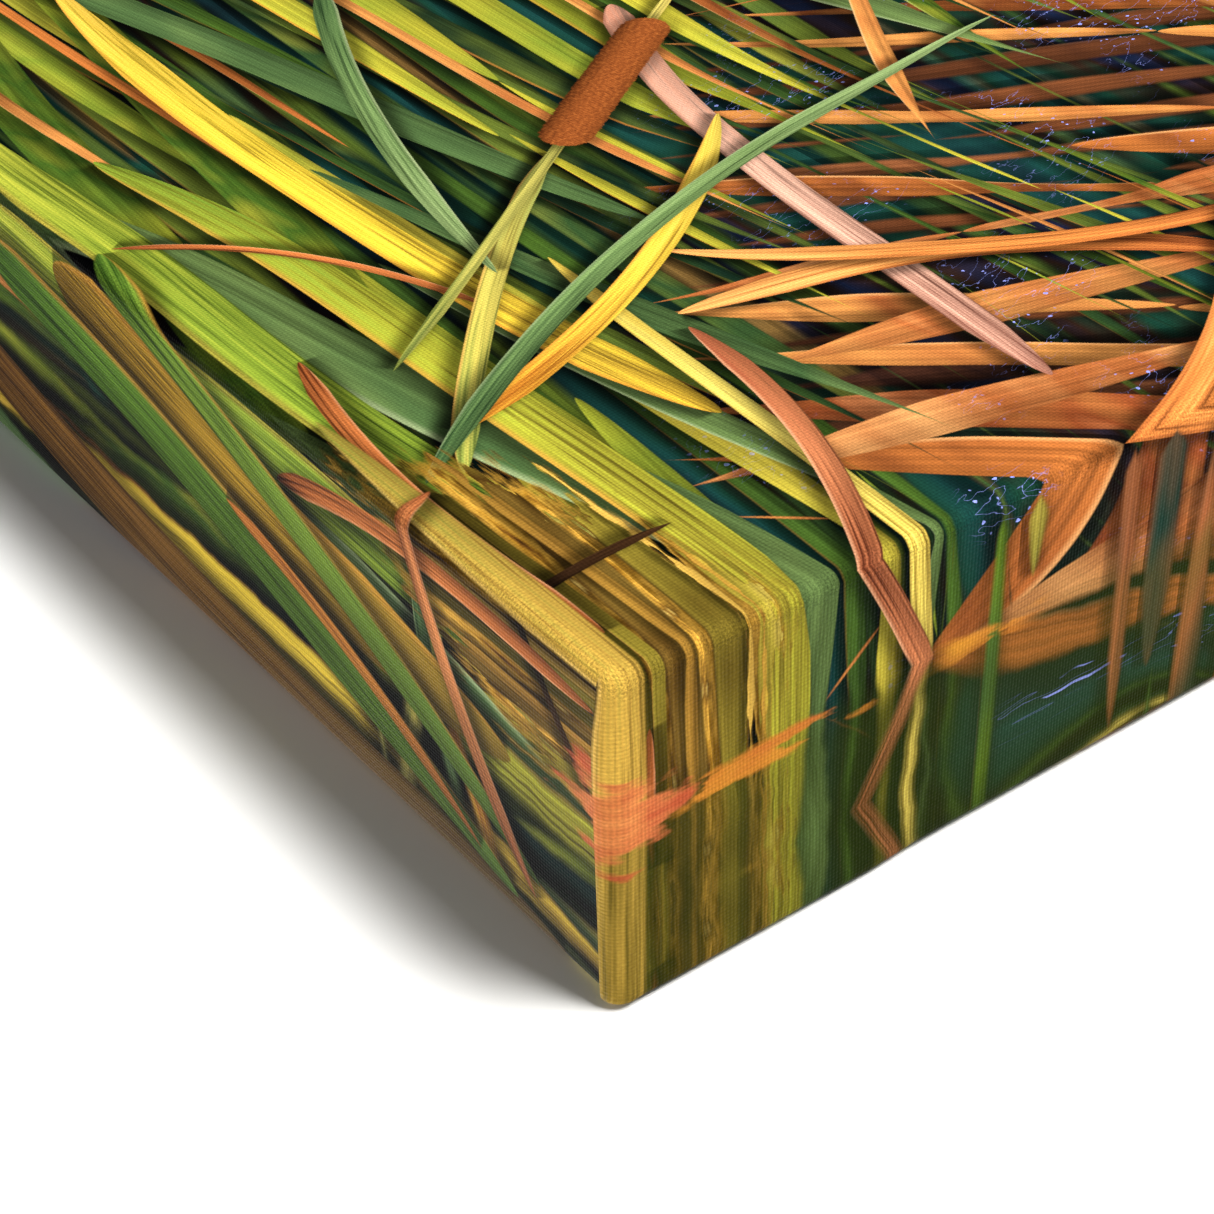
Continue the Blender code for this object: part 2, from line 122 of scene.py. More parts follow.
class Graph:
    """Builds the nodes of one tree from expressions."""

    def __init__(self, tree):
        self.tree = tree

    def add(self, kind, **settings):
        node = self.tree.nodes.new(kind)
        for key, value in settings.items():
            setattr(node, key, value)
        return node

    def put(self, value, socket):
        """Feed a value or a constant to a node's input."""
        if isinstance(value, Value):
            self.tree.links.new(value.socket, socket)
        elif socket.type == "RGBA":
            socket.default_value = (*value, 1.0)
        else:
            socket.default_value = value

    def feed(self, node, *values):
        for value, socket in zip(values, node.inputs):
            self.put(value, socket)
        return Value(self, node.outputs[0])

    def math(self, operation, *inputs, clamp=False):
        return self.feed(self.add("ShaderNodeMath", operation=operation, use_clamp=clamp), *inputs)

    absolute = partialmethod(math, "ABSOLUTE")
    floor = partialmethod(math, "FLOOR")
    fraction = partialmethod(math, "FRACT")
    least = partialmethod(math, "MINIMUM")
    most = partialmethod(math, "MAXIMUM")

    def clamp(self, value):
        return self.math("ADD", value, 0.0, clamp=True)

    def length(self, x, y):
        return self.math("SQRT", x * x + y * y)

    def step(self, value, low, high):
        """0 below low, 1 above high, smooth between."""
        node = self.add("ShaderNodeMapRange", interpolation_type="SMOOTHSTEP")
        return self.feed(node, value, low, high, 0.0, 1.0)

    def scale(self, value, low, high, new_low, new_high):
        return self.feed(self.add("ShaderNodeMapRange"), value, low, high, new_low, new_high)

    def vector(self, x, y, z=0.0):
        return self.feed(self.add("ShaderNodeCombineXYZ"), x, y, z)

    def mad(self, first, second, third):
        """first * second + third"""
        return self.math("MULTIPLY_ADD", first, second, third)

    def dot(self, first, second):
        node = self.add("ShaderNodeVectorMath", operation="DOT_PRODUCT")
        self.feed(node, first, second)
        return Value(self, node.outputs["Value"])

    def parts(self, vector):
        node = self.add("ShaderNodeSeparateXYZ")
        self.put(vector, node.inputs[0])
        return [Value(self, output) for output in node.outputs]

    def noise(self, x, y, z=0.0, detail=2.0, roughness=0.5):
        """Smooth noise about 0.5."""
        node = self.add("ShaderNodeTexNoise")
        self.put(self.vector(x, y, z), node.inputs["Vector"])
        node.inputs["Scale"].default_value = 1.0
        node.inputs["Detail"].default_value = detail
        node.inputs["Roughness"].default_value = roughness
        return Value(self, node.outputs[0])

    def dice(self, x, y=0.0, z=0.0):
        """Four random numbers for a cell."""
        node = self.add("ShaderNodeTexWhiteNoise", noise_dimensions="3D")
        self.put(self.vector(x, y, z), node.inputs["Vector"])
        split = self.add("ShaderNodeSeparateColor")
        self.tree.links.new(node.outputs["Color"], split.inputs[0])
        return [Value(self, node.outputs["Value"])] + [Value(self, s) for s in split.outputs]

    def palette(self, factor, codes):
        """Colour from evenly spaced sRGB codes."""
        node = self.add("ShaderNodeValToRGB")
        elements = node.color_ramp.elements
        while len(elements) < len(codes):
            elements.new(0.5)
        for number, code in enumerate(codes):
            elements[number].position = number / max(len(codes) - 1, 1)
            elements[number].color = (*rgb(code), 1.0)
        return self.feed(node, factor)

    def blend(self, factor, first, second):
        node = self.add("ShaderNodeMix", data_type="RGBA")
        self.put(factor, node.inputs["Factor"])
        self.put(first, node.inputs[6])
        self.put(second, node.inputs[7])
        return Value(self, node.outputs[2])

    def tint(self, colour, factor):
        """Multiply a colour by a number."""
        node = self.add("ShaderNodeVectorMath", operation="SCALE")
        self.put(colour, node.inputs[0])
        self.put(factor, node.inputs["Scale"])
        return Value(self, node.outputs[0])

    def attribute(self, name):
        node = self.add("ShaderNodeAttribute", attribute_name=name)
        return Value(self, node.outputs["Vector"])

    def place(self):
        """Object coordinates in millimetres."""
        node = self.add("ShaderNodeTexCoord")
        scaled = self.add("ShaderNodeVectorMath", operation="SCALE")
        self.tree.links.new(node.outputs["Object"], scaled.inputs[0])
        scaled.inputs["Scale"].default_value = 1000.0
        return self.parts(Value(self, scaled.outputs[0]))

    def bump(self, height, distance, strength=1.0):
        """Normal from a height in units of distance (metres)."""
        node = self.add("ShaderNodeBump")
        node.inputs["Strength"].default_value = strength
        node.inputs["Distance"].default_value = distance
        self.put(height, node.inputs["Height"])
        return Value(self, node.outputs[0])


class Finish(Graph):
    """The node tree of one material."""

    def __init__(self, name):
        self.material = bpy.data.materials.new(name)
        self.material.use_nodes = True
        super().__init__(self.material.node_tree)
        self.shader = self.tree.nodes["Principled BSDF"]

    def surface(self, colour, roughness, normal=None, metallic=0.0, sheen=0.0):
        self.put(colour, self.shader.inputs["Base Color"])
        self.put(roughness, self.shader.inputs["Roughness"])
        self.put(metallic, self.shader.inputs["Metallic"])
        self.put(sheen, self.shader.inputs["Sheen Weight"])
        if normal:
            self.put(normal, self.shader.inputs["Normal"])
        return self.material


def socket_kind(value):
    """The kind of socket that carries a value: tuples are colours."""
    if isinstance(value, Value):
        return {"VALUE": "NodeSocketFloat", "RGBA": "NodeSocketColor",
                "VECTOR": "NodeSocketVector"}[value.socket.type]
    if isinstance(value, Vector):
        return "NodeSocketVector"
    return "NodeSocketColor" if isinstance(value, tuple) else "NodeSocketFloat"


def grouped(build):
    """Make a function of a graph and its numbers and colours into one shared node group."""
    name = build.__name__

    def call(g, *inputs):
        if name not in bpy.data.node_groups:
            make_group(name, build, inputs)
        node = g.add("ShaderNodeGroup", node_tree=bpy.data.node_groups[name])
        g.feed(node, *inputs)
        results = [Value(g, socket) for socket in node.outputs]
        return results if len(results) > 1 else results[0]

    return call


def make_group(name, build, inputs):
    tree = bpy.data.node_groups.new(name, "ShaderNodeTree")
    for number, value in enumerate(inputs):
        tree.interface.new_socket(f"in {number}", socket_type=socket_kind(value))
    inner = Graph(tree)
    entry = inner.add("NodeGroupInput")
    results = build(inner, *[Value(inner, entry.outputs[n]) for n in range(len(inputs))])
    results = results if isinstance(results, tuple) else (results,)
    leave = inner.add("NodeGroupOutput")
    for number, value in enumerate(results):
        tree.interface.new_socket(f"out {number}", in_out="OUTPUT",
                                  socket_type=socket_kind(value))
        inner.put(value, leave.inputs[number])


# ================================================================ the printed picture

# A bed of reeds over dark water, drawn in millimetres from the canvas's bottom left corner.
# Palettes are sRGB codes.
WATER = ("0a1014", "10262a", "143c38", "14382a", "2a1a12", "141e38", "1c120e")
FAR_REEDS = ("14281c", "2e4620", "56661f", "1c4038", "70542a", "1a2414", "7c7a2e")
MID_REEDS = ("1c3016", "3f5a1e", "12281c", "667428", "2f4a26", "8a8830", "5a4a26")
BRIGHT_REEDS = ("5f7622", "94982c", "3d5a1c", "b8ae36", "77882a", "cbb840", "4a6424")
SAGE_REEDS = ("4a6438", "6f8448", "39532e", "7f8e50")
DRY_LEAVES = ("a85a26", "c77436", "6f3a1c", "d8904a", "8a4422", "c98654", "4a2414")
REFLECTIONS = ("24401a", "56701e", "123a30", "9a5a34", "3a5a24", "b8a040", "30201a")
PEACH_LEAVES = ("c07236", "d89450", "a85e30", "e0a868", "b87a52")
OLD_LEAVES = ("40241a", "6e3e22", "2a1712", "8a5230", "1c1212")
GOLD_FIBRES = ("1c120a", "6a4418", "a87a26", "d8a440", "7c5820", "e8c468", "98802c")
GOLD_STALKS = ("c8983a", "6a4a1e", "e0b450", "46300f", "9a8a30", "f0cc6c")
GREEN_BLADE = ("3f5c1c", "7a8f2c", "a8a838")
YELLOW_BLADE = ("b08c2c", "e0c038", "d8b044")
SAGE_BLADE = ("35502c", "66804a", "829660")
ORANGE_BLADE = ("8a4420", "d07e3c", "e2a058")

# Blades that stand out near the bottom left corner, the lowest first: start, end, bend, width,
# colours, edge colour and bluntness.
HERO_BLADES = (
    ((34, 30), (33, 172), 6, 6.0, YELLOW_BLADE, "c0702c", 0.4),
    ((13, -6), (5, 150), 5, 7.0, GREEN_BLADE, "a88a3a", 0.4),
    ((19, -6), (12, 118), -3, 6.0, ("8a7c28", "a0a030", "6f8a2c"), "c8843a"),
    ((64, 14), (88, 118), 3, 4.5, ("8a5444", "d8a890", "b07860"), "5c3020", 3.0),
    ((35, -8), (41, 66), 1, 2.6, ("c0a040", "dcc860", "b89a38"), "8a6a2c", 0.6),
    ((27, -4), (43, 44), -3, 3.0, ("6a3420", "b87048", "8a4a30"), "e0a880", 0.6),
    ((99, 20), (44, 47), -6, 4.6, ORANGE_BLADE, "8a4020"),
    ((112, 26), (52, 60), 7, 3.6, ORANGE_BLADE, "9a5024", 0.4),
    ((44, -7), (108, 28), -7, 6.2, ORANGE_BLADE, "a0562a", 0.7),
    ((3, 96), (29, 60), 4, 1.5, ("7a3c20", "c8743c", "8a4a28"), "e8b080", 1.0),
    ((10, 36), (58, 88), 3, 3.0, ("8a9a44", "c0b050", "98a050"), "c98a4a", 0.8),
    ((14, 42), (80, 84), -5, 3.6, ("d07c28", "e6c040", "c9b04a"), "b8602c", 0.4),
    ((7, 37), (122, 82), 9, 3.0, SAGE_BLADE, "8a9a70", 0.3),
    ((62, 148), (34, 66), -3, 3.6, SAGE_BLADE, "98a078", 0.3),
)

# Blades along the side walls alone, as for HERO_BLADES.
WALL_BLADES = (
    ((0, -60), (2.6, 52), 0, 5.0, ("8a6e28", "c8a044", "74702c"), "e0b868", 0.2),
    ((-22, 150), (-37, 8), -5, 9.0, ("4a2c14", "7a5420", "5c4a1c"), "1c100a", 0.8),
    ((-4, 104), (-18, 16), -2, 11.0, ("5e4614", "a07c24", "7c6420"), "c48a34", 0.3),
    ((-8, 128), (-35, 16), 4, 7.5, ("33501a", "4f6f22", "5c7a2a"), "c07a34", 0.3),
    ((2, 96), (-31, 12), 3, 5.0, ("3c5a1c", "6a842c", "54702a"), "c07a34", 0.3),
    ((-16, 68), (-33, 22), 2, 2.4, ("a8602c", "c88034", "8a4a20"), "3c1c0c", 0.4),
    ((4, 34), (-33, 13), -2, 2.6, ("7a3c20", "c07a48", "9a5230"), "e0a880", 0.5),
)

# Adding this much of one layer to the next one's coordinates changes nothing that shows, but
# makes the renderer finish each layer before it starts the next, within its small memory.
IN_TURN = 1e-7


@grouped
def reed_row(g, point, lengthwise, crosswise, fibre, cover, soft, seed, fullness, region, mottle):
    """A row of long tapering blades: mask, shadow, tone, light and bright edge.

    point's products with lengthwise and crosswise count blade lengths and blade spacings;
    fibre scales them to the fibres' grain.  cover is the share of blades that is there, soft
    the blur of their edges, fullness and region the share of their width.
    """
    along = g.dot(point, lengthwise)
    across = g.dot(point, crosswise)
    column = g.floor(across)
    _, start, hue, edged = g.dice(column, seed)
    position = along + start
    row = g.floor(position)
    part = position - row
    there, girth, shift, lean = g.dice(column, row, seed + 0.5)
    taper = g.least(g.least(g.mad(part, -2.6, 2.6), part * 6.0), 1.0)
    half = g.mad(girth, 0.22, 0.22) * g.math("SQRT", taper) * fullness * region
    centre = column + g.mad(shift, 0.2, 0.4) + (part - 0.5) * g.mad(lean, 0.5, -0.25)
    offset = across - centre
    present = g.math("LESS_THAN", there, cover)
    mask = g.step(half - g.absolute(offset), 0.0, soft) * present
    shadow = g.step(half - g.absolute(offset - 0.12), -0.2 - soft, 0.08) * present * 0.65
    shadow = shadow * g.least(region, 1.0) * g.step(taper, 0.0, 0.12)
    side = offset / g.most(half, 0.01)
    scale_x, scale_y, _ = g.parts(fibre)
    streak = g.noise(along * scale_x, across * scale_y, seed, detail=2.0, roughness=0.75)
    fold = g.math("SIGN", side + 0.15)
    light = g.mad(streak, 1.25, g.mad(side, 0.1, g.mad(fold, 0.07, g.mad(mottle, 0.7, 0.2))))
    tone = g.clamp(g.mad(hue, 0.7, g.mad(girth, 0.3, mottle * 0.5)))
    rim = g.step(side, 0.7, 0.95) * g.step(edged, 0.45, 0.6) * 0.8
    return mask, shadow, tone, light, rim


@grouped
def single_blade(g, point, lengthwise, crosswise, start, bend, half_width, seed, soft, blunt,
                 grain):
    """One bowed blade: mask, shadow, tone, light and bright edge.

    point's product with lengthwise less start.x is the part of the way along, and that with
    crosswise less start.y the distance in millimetres to one side.
    """
    start_x, start_y, _ = g.parts(start)
    part = g.dot(point, lengthwise) - start_x
    bow = (part - part * part) * bend
    offset = g.dot(point, crosswise) - start_y - bow
    taper = g.clamp(g.least(g.mad(part, 9.0, 0.12), (1.0 - part) * blunt))
    half = g.math("SQRT", taper) * half_width
    mask = g.step(half - g.absolute(offset), 0.0, soft)
    shadow = g.step(half - g.absolute(offset - 0.9), -1.8 - soft, 0.5) * 0.7
    side = offset / g.most(half, 0.05)
    streak = g.noise(offset * 1.7, part * grain, seed, detail=2.0, roughness=0.75)
    fold = g.math("SIGN", side + 0.15)
    light = g.mad(streak, 1.3, g.mad(side, 0.16, g.mad(fold, 0.06, 0.26)))
    light = light * g.mad(g.step(streak, 0.36, 0.46), 0.3, 0.7)
    tone = g.clamp(g.mad(streak, 1.1, g.mad(part, 0.9, -0.5)))
    rim = g.step(side, 0.62, 0.92) * g.mad(streak, 0.9, 0.1)
    return mask, shadow * g.step(taper, 0.0, 0.05), tone, light, rim


@grouped
def velvet_head(g, point, lengthwise, crosswise, start, half_length, half_width, seed):
    """A cattail's head round its middle: mask, shadow, tone, light and no bright edge."""
    start_x, start_y, _ = g.parts(start)
    along = g.absolute(g.dot(point, lengthwise) - start_x)
    across = g.dot(point, crosswise) - start_y
    past = g.most(along - half_length, 0.0)
    fuzz = g.noise(along * 1.8, across * 1.8, seed)
    inside = half_width - g.length(past, across) + fuzz * 0.6
    side = across / half_width
    light = g.mad(side * side, -0.55, g.mad(side, -0.2, g.mad(fuzz, 0.5, 0.8)))
    return g.step(inside, 0.0, 0.35), g.step(inside, -2.4, 0.0) * 0.5, fuzz, light, fuzz * 0.0


@grouped
def lay_over(g, below, colour, edge, mask, shadow, light, rim):
    """Light a layer's colour, brighten its edges and lay it over the picture below."""
    edged = g.blend(rim, g.tint(colour, light), edge)
    return g.blend(mask, g.tint(below, 1.0 - shadow), edged)


class Picture:
    """A picture built up one layer over another.

    blur softens every layer's edges, in millimetres.
    """

    def __init__(self, g, point, colour, mottle, blur):
        self.g = g
        self.point = point
        self.colour = colour
        self.mottle = mottle
        self.blur = blur

    def lay(self, shape, colours, edge=None):
        mask, shadow, tone, light, rim = shape
        g = self.g
        colour = g.palette(tone, colours)
        if edge is None:
            edge, rim = colours[0], 0.0
        self.colour = lay_over(g, self.colour, colour, rgb(edge), mask, shadow, light, rim)
        nudge = g.add("ShaderNodeVectorMath", operation="MULTIPLY_ADD")
        self.point = g.feed(nudge, mask, Vector((IN_TURN, IN_TURN, 0)), self.point)

    def row(self, angle, spacing, length, cover, soft, colours, edge=None, region=1.0,
            fullness=1.0):
        """Lay a row of blades at an angle in degrees from +u."""
        seed = 11.0 + angle * 0.37 + spacing
        turn = math.radians(angle)
        lengthwise = Vector((math.cos(turn), math.sin(turn), 0)) / length
        crosswise = Vector((-math.sin(turn), math.cos(turn), 0)) / spacing
        fibre = Vector((length * 0.015, spacing * 1.4, 0))
        blur = self.g.mad(self.blur, 1 / spacing, soft / spacing)
        self.lay(reed_row(self.g, self.point, lengthwise, crosswise, fibre, cover, blur, seed,
                          fullness, region, self.mottle), colours, edge)

    def axes(self, start, end):
        """Unit vectors along and across a line, and its length."""
        run = Vector((end[0] - start[0], end[1] - start[1], 0))
        length = run.length
        unit = run / length
        return unit, Vector((-unit.y, unit.x, 0)), length

    def blade(self, start, end, bend, width, colours, edge=None, blunt=0.5):
        """Lay one blade between two points, bowed sideways by bend."""
        along, across, length = self.axes(start, end)
        foot = Vector((start[0], start[1], 0))
        seed = 3.0 + start[0] * 0.71 + end[1] * 0.37
        middle = Vector((foot.dot(along) / length, foot.dot(across), 0))
        soft = self.g.math("ADD", self.blur, 0.2)
        self.lay(single_blade(self.g, self.point, along / length, across, middle, bend * 4.0,
                              width / 2, seed, soft, blunt * 7.0 + 1.4, length * 0.03),
                 colours, edge)

    def cattail(self, start, end, width=6.6):
        """Lay a velvety brown head with a thin stem below and above it."""
        along, across, length = self.axes(start, end)
        reach = Vector((end[0] - start[0], end[1] - start[1]))
        foot, tip = Vector(start) - reach * 1.5, Vector(end) + reach * 0.45
        self.blade(foot, tip, 0.0, 1.7, ("76803a", "c9b45a"), blunt=1.0)
        middle = (Vector(start) + Vector(end)).to_3d() / 2
        middle = Vector((middle.dot(along), middle.dot(across), 0))
        self.lay(velvet_head(self.g, self.point, along, across, middle,
                             length / 2 - width / 2, width / 2, start[0]),
                 ("5c2c14", "84451e", "a5602c"))


def reed_picture(g, u, v, deep):
    """The whole picture as a colour, from coordinates in millimetres.

    deep is 1 where the side walls show it blurred.
    """
    sway = g.noise(u * 0.012, v * 0.008, 3.0, detail=1.0) - 0.5
    point = g.vector(g.mad(sway, 16.0, u), g.mad(sway, 10.0, v))
    clump = g.noise(u * 0.013, v * 0.006, 4.0, detail=1.0) - 0.5
    left_bank = g.step(g.mad(clump, 40.0, g.mad(v, -0.45, u)), 44.0, 10.0)
    upper = g.step(g.mad(clump, 70.0, v), 55.0, 115.0)
    reedy = g.clamp(left_bank + upper + g.step(clump, 0.0, 0.12))
    water = 1.0 - reedy
    mottle = g.noise(u * 0.12, v * 0.035, 7.0) - 0.5

    depth = g.noise(u * 0.06, v * 0.016, 1.0, detail=3.0)
    deepest = g.palette(g.scale(depth, 0.3, 0.7, 0.0, 1.0), WATER)
    haze = g.step(v / (HEIGHT / MM) + sway, 0.5, 1.1)
    picture = Picture(g, point, g.blend(haze * 0.6, deepest, rgb("24564a")), mottle, deep * 1.2)

    lay_rows(picture, water, reedy, g.step(u + v, 150.0, 185.0))
    picture.colour = water_glints(g, picture.point, picture.colour, water, rgb("8f9ae8"))
    for blade in HERO_BLADES:
        picture.blade(*blade)
    picture.cattail((60, 89), (90, 111))
    lay_gold(picture, u, v)
    return picture.colour


def lay_rows(picture, water, reedy, far):
    """The rows of reeds and leaves, from the farthest to the nearest."""
    mostly_reedy = picture.g.clamp(reedy + 0.35)
    picture.row(84, 8, 180, 0.8, 1.8, FAR_REEDS)
    picture.row(-28, 8, 110, 0.8, 1.0, OLD_LEAVES, "8a5a3c", water)
    picture.row(88, 6, 190, 0.75, 0.5, MID_REEDS, "a08038", mostly_reedy)
    picture.row(-40, 10, 110, 0.7, 0.3, DRY_LEAVES, "e0a468", water)
    picture.row(96, 7, 230, 0.66, 0.35, MID_REEDS, "c07a34", reedy)
    picture.row(-14, 17, 150, 0.5, 0.3, PEACH_LEAVES, "8a4a28", water, 0.8)
    picture.row(91, 9, 260, 0.66, 0.25, BRIGHT_REEDS, "cf8a34", reedy)
    picture.row(82, 14, 240, 0.5, 0.25, BRIGHT_REEDS, "a8b058", reedy)
    picture.row(92, 12, 170, 0.5, 0.25, DRY_LEAVES, "e0a468", reedy, 0.3)
    picture.row(101, 15, 250, 0.4, 0.25, SAGE_REEDS, "98a878", reedy)
    picture.row(64, 41, 170, 0.4, 0.25, DRY_LEAVES, "e8c088", far, 0.16)


def lay_gold(picture, u, v):
    """Straw and stalks in the corner, crossed by a dark crack and a rusty stalk."""
    g = picture.g
    fibres = g.noise(u * 0.9, v * 0.12, 6.0, detail=3.0) - 0.5
    near = g.mad(fibres, 22.0, g.length(u * 1.35, v * 0.6))
    gold = g.step(near, 26.0, 21.0)
    straw = g.palette(g.scale(fibres, -0.25, 0.3, 0.0, 1.0), GOLD_FIBRES)
    picture.colour = g.blend(gold, picture.colour, straw)
    picture.row(86, 5.0, 70, 0.8, 0.3, GOLD_STALKS, "2c1a0c", gold, 1.3)
    picture.row(90, 3.4, 60, 0.5, 0.25, GOLD_STALKS, "d8a850", gold, 0.8)
    picture.blade((-3, 13), (19, 16), 1, 1.5, ("1a0e08", "3a2412"), blunt=0.4)
    picture.blade((7, 62), (4, 6), -2, 2.4, ("6a3418", "c0703a", "8a4a24"), "e0a070", 0.8)


@grouped
def water_glints(g, point, below, water, glint):
    """Small blue-white sparks and threads of light where the water shows."""
    u, v, _ = g.parts(point)
    thread = g.noise(u * 0.10 + v * 0.05, v * 0.35 - u * 0.12, 2.0, detail=3.0)
    line = g.step(0.006 - g.absolute(thread - 0.52), 0.0, 0.006)
    patch = g.step(g.noise(u * 0.05, v * 0.05, 7.0, detail=1.0), 0.5, 0.6)
    spark = g.step(g.noise(u * 1.3, v * 1.3, 9.0, detail=0.0), 0.76, 0.82)
    return g.blend(g.clamp(g.mad(line, 0.5, spark) * patch * water), below, glint)


@grouped
def mirrored(g, value, size, fold):
    """Turn a coordinate back at both edges, and again at a distance fold beyond them."""
    below = g.most(0.0 - value, 0.0)
    above = g.most(value - size, 0.0)
    inside = g.least(g.most(value, 0.0), size)
    back_below = g.absolute(fold - g.absolute(fold - below))
    back_above = g.absolute(fold - g.absolute(fold - above))
    return inside + back_below - back_above


@grouped
def weave(g, u, v, turn):
    """Height of a plain weave, 0 to 1; turn is its angle in radians a millimetre."""
    wobble = g.noise(u * 0.35, v * 0.35, 2.0, detail=1.0) * 1.6
    x = g.mad(u, turn, wobble)
    y = g.mad(v, turn, wobble)
    square = g.math("COSINE", x) + g.math("COSINE", y)
    checker = g.math("COSINE", x * 0.5) * g.math("COSINE", y * 0.5)
    return g.clamp(g.mad(square, 0.2, g.mad(checker, 0.14, 0.5)))


def print_material():
    """Ink on primed cotton: the picture outside, raw cotton beyond the print's edge."""
    g = Finish("printed_cotton")
    sheet_u, sheet_v, out = g.parts(g.attribute("sheet"))
    u, v, out = sheet_u * 1000.0, sheet_v * 1000.0, out * 1000.0
    deep = g.step(out, SECOND_FOLD - 3.0, SECOND_FOLD + 4.0)
    ripple = (g.noise(u * 0.16, v * 0.16, 5.0) - 0.5) * g.mad(deep, 1.4, 0.2)
    ripple = ripple * g.step(out, 1.0, 6.0)
    beside = g.most(g.most(0.0 - u, u - WIDTH / MM), 0.0)
    beneath = g.most(g.most(0.0 - v, v - HEIGHT / MM), 0.0)
    slide = beneath * g.step(u, 35.0, 80.0) * LONG_SHEAR
    picture_u = mirrored(g, u, WIDTH / MM, NO_FOLD) + ripple - slide
    picture_v = mirrored(g, v, HEIGHT / MM, SECOND_FOLD) + ripple + beside * SIDE_SHEAR
    picture = reed_picture(g, picture_u, picture_v, deep)
    picture = wall_blades(g, u, v, beneath, picture)
    picture = wall_streak(g, u, v, out, beneath, picture)

    height = weave(g, u, v, WEAVE_TURN)
    grain = g.noise(u * 5.5, v * 5.5, out * 0.3, detail=1.0)
    worn = g.noise(u * 2.2, v * 2.2, 3.0)
    on_edge = g.step(g.absolute(out), 2.6, 0.4)
    speck = (grain - 0.5) * (0.4 + on_edge * 1.1)
    # Painted shade: the ink is tinted darker where the weave is low, in the hollows between the
    # threads
    inked_with_weave_shade = g.tint(picture, 0.96 + (height - 0.6) * 0.3 + speck)
    cotton = raw_cotton(g, height, grain, worn)
    printed_to = (BACK - FRONT + PRINTED_HEM) / MM
    colour = g.blend(g.step(out + (worn - 0.5) * 0.8, printed_to, printed_to + 0.25),
                     inked_with_weave_shade, cotton)
    normal = g.bump(height + (grain - 0.5) * 0.3, 0.00010, 0.75)
    g.shader.inputs["Specular IOR Level"].default_value = 0.012
    return g.surface(colour, 0.62 - height * 0.1, normal)


def wall_blades(g, u, v, beneath, below):
    """Blades and reflections that lie along the side walls alone, most near the corner."""
    mottle = g.noise(u * 0.12, v * 0.035, 17.0) - 0.5
    picture = Picture(g, g.vector(u, v), below, mottle, 0.25)
    reflected = g.step(beneath, 0.0, 4.0) * g.step(u, 36.0, 48.0)
    picture.row(90, 6, 64, 0.85, 0.7, REFLECTIONS, "c8743c", reflected)
    for blade in WALL_BLADES:
        picture.blade(*blade)
    return picture.colour


def wall_streak(g, u, v, out, beneath, below):
    """On the side walls a bright ragged streak lies along the second fold, darker beyond it."""
    wander = g.noise(u * 0.03, v * 0.03, 12.0, detail=3.0) - 0.5
    ragged = g.noise(u * 0.16, v * 0.16, out * 0.5, detail=3.0)
    centre = SECOND_FOLD + 1.2 + wander * 5.0
    half = 0.4 + ragged * 2.6
    mask = g.step(half - g.absolute(out - centre), 0.0, 0.9) * g.step(ragged, 0.42, 0.52)
    on_long_walls = g.step(beneath, 0.5, 1.5)
    mask = mask * on_long_walls * g.step(wander, -0.06, 0.02) * g.step(u, 5.0, 9.0)
    hue = g.noise(u * 0.05, v * 0.05, out * 0.2 + 5.0)
    streak = g.palette(hue, ("7a6a24", "c98a2c", "b5562c", "9a9a34"))
    beyond = g.step(out, SECOND_FOLD - 2.0, SECOND_FOLD + 5.0)
    murky = g.blend(beyond * on_long_walls * 0.14, below, rgb("5e7420"))
    murky = g.tint(murky, 1.0 - beyond * 0.25)
    reach = g.length(g.most(u, v), (out - SECOND_FOLD - 1.0) * 1.5)
    ember = g.step(g.mad(ragged, 20.0, reach), 18.0, 14.5)
    embers = g.palette(ragged, ("7a2c1c", "b85434", "e08a50", "8a5a2c"))
    return g.blend(mask * 0.85, g.blend(ember * 0.85, murky, embers), streak)


def raw_cotton(g, height, grain, worn):
    """Unprimed cotton duck: cream, with seed flecks and painted shade darkening the weave's gaps.
    """
    cream = g.palette(worn, ("c9b998", "dccfb2", "e6dcc4"))
    flecked = g.blend(g.step(grain, 0.76, 0.84) * 0.6, cream, rgb("8a7450"))
    # Painted shade: darker where the weave is low, in the gaps between the threads
    return g.tint(flecked, 0.78 + height * 0.3)


def cotton_material():
    """The unprinted inside of the cloth."""
    g = Finish("raw_cotton")
    sheet_u, sheet_v, _ = g.parts(g.attribute("sheet"))
    u, v = sheet_u * 1000.0, sheet_v * 1000.0
    height = weave(g, u, v, WEAVE_TURN)
    grain = g.noise(u * 4.0, v * 4.0, 1.0, detail=1.0)
    slub = g.noise(u * 0.9, v * 0.06, 3.0, detail=3.0)
    cross = g.noise(u * 0.06, v * 0.9, 6.0, detail=3.0)
    worn = g.noise(u * 0.03, v * 0.03, 3.0, detail=3.0)
    cream = raw_cotton(g, height, grain, g.clamp(worn * 0.5 + slub * 0.28 + cross * 0.28))
    normal = g.bump(height + slub * 0.5 + cross * 0.5, 0.00012, 0.8)
    return g.surface(cream, 0.85, normal, sheen=0.25)


# ================================================================ wood and metal

